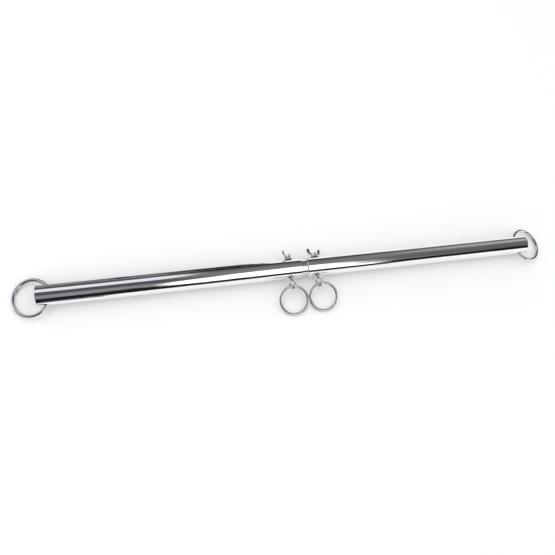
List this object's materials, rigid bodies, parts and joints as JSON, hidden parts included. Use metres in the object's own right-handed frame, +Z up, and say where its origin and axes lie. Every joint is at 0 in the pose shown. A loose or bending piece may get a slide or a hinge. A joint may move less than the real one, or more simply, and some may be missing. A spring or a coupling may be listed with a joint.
{
  "type": "spreader bar",
  "caption": "Chrome-plated two-piece tubular spreader bar with a swinging ring through each end, and rings hung from wing-nut eye bolts at the middle joint.",
  "frame": {"origin": "bottom centre of the whole object's box, on the table top that it lies on", "axes": "+X along the bar towards the right tube; +Y towards the wing nuts, with the eyes and middle rings on -Y; +Z up from the table"},
  "size_m": [0.7216, 0.0846, 0.025],
  "materials": {
    "tube_chrome": "bright chrome plate with fine polishing lines and light handling scratches",
    "ring_chrome": "bright plated round wire",
    "hardware_chrome": "plated turned steel, slightly satin on the thread",
    "cast_chrome": "plated casting with a faint orange-peel surface",
    "sleeve_steel": "turned bright steel"
  },
  "bodies": {
    "bar": {"left_tube": "tube_chrome", "right_tube": "tube_chrome", "coupling_sleeve": "sleeve_steel", "left_eye_bolt": "hardware_chrome", "right_eye_bolt": "hardware_chrome"},
    "left_end_ring": {"left_end_ring": "ring_chrome"},
    "left_middle_ring": {"left_middle_ring": "ring_chrome"},
    "left_washer": {"left_washer": "hardware_chrome"},
    "left_wing_nut": {"left_wing_nut": "cast_chrome"},
    "right_end_ring": {"right_end_ring": "ring_chrome"},
    "right_middle_ring": {"right_middle_ring": "ring_chrome"},
    "right_washer": {"right_washer": "hardware_chrome"},
    "right_wing_nut": {"right_wing_nut": "cast_chrome"}
  },
  "joints": [
    {"name": "left_end_ring_swing", "type": "hinge", "parent": "bar", "child": "left_end_ring", "pos_m": [-0.3185, 0.01765, 0.0125], "axis": [0, 1, 0], "range_deg": [-142, 170]},
    {"name": "right_end_ring_swing", "type": "hinge", "parent": "bar", "child": "right_end_ring", "pos_m": [0.3185, 0.01765, 0.0125], "axis": [0, -1, 0], "range_deg": [-142, 170]},
    {"name": "left_middle_ring_swing", "type": "hinge", "parent": "bar", "child": "left_middle_ring", "pos_m": [-0.0187, -0.006, 0.0125], "axis": [-1, 0, 0], "range_deg": [-117, 151]},
    {"name": "right_middle_ring_swing", "type": "hinge", "parent": "bar", "child": "right_middle_ring", "pos_m": [0.0173, -0.006, 0.0125], "axis": [-1, 0, 0], "range_deg": [-117, 151]},
    {"name": "left_washer_slide", "type": "slide", "parent": "bar", "child": "left_washer", "axis": [0, 1, 0], "range_m": [0, 0.0024]},
    {"name": "left_wing_nut_turn", "type": "hinge", "parent": "left_washer", "child": "left_wing_nut", "pos_m": [-0.0187, 0.01765, 0.0125], "axis": [0, 1, 0], "range_deg": [0, 1080]},
    {"name": "right_washer_slide", "type": "slide", "parent": "bar", "child": "right_washer", "axis": [0, 1, 0], "range_m": [0, 0.0024]},
    {"name": "right_wing_nut_turn", "type": "hinge", "parent": "right_washer", "child": "right_wing_nut", "pos_m": [0.0173, 0.01765, 0.0125], "axis": [0, 1, 0], "range_deg": [0, 1080]}
  ],
  "couplings": [
    {"joint": "left_washer_slide", "follows": "left_wing_nut_turn", "m_per_rad": 0.00012732},
    {"joint": "right_washer_slide", "follows": "right_wing_nut_turn", "m_per_rad": 0.00012732}
  ]
}
